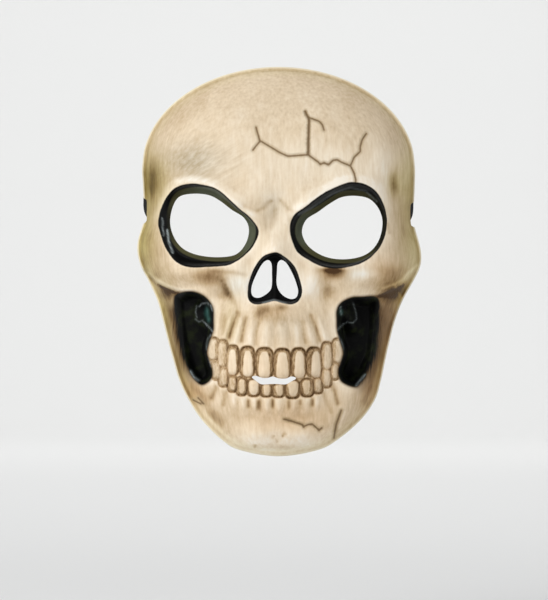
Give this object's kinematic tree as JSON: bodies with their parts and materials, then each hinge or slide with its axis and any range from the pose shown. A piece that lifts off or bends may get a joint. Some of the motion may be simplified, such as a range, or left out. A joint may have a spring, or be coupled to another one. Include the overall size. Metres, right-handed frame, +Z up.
{
  "type": "skull mask",
  "caption": "Moulded plastic skull face mask with open eye sockets and nose, closed cheek hollows, teeth in relief and a flat black elastic round the head.",
  "frame": {"origin": "where the inside of the nose bridge rests on the wearer, level with the pupils", "axes": "-Y towards the viewer, out of the face; +Y back along the wearer's head; +Z up; +X to the viewer's right"},
  "size_m": [0.1319, 0.1913, 0.1794],
  "materials": {
    "mask_shell": "painted bone, satin, with glossy black recesses",
    "elastic_strap": "flat knitted elastic",
    "staple_left": "bright wire",
    "staple_right": "bright wire"
  },
  "bodies": {
    "root": {"mask_shell": "mask_shell", "elastic_strap": "elastic_strap", "staple_left": "staple_left", "staple_right": "staple_right"}
  },
  "joints": []
}
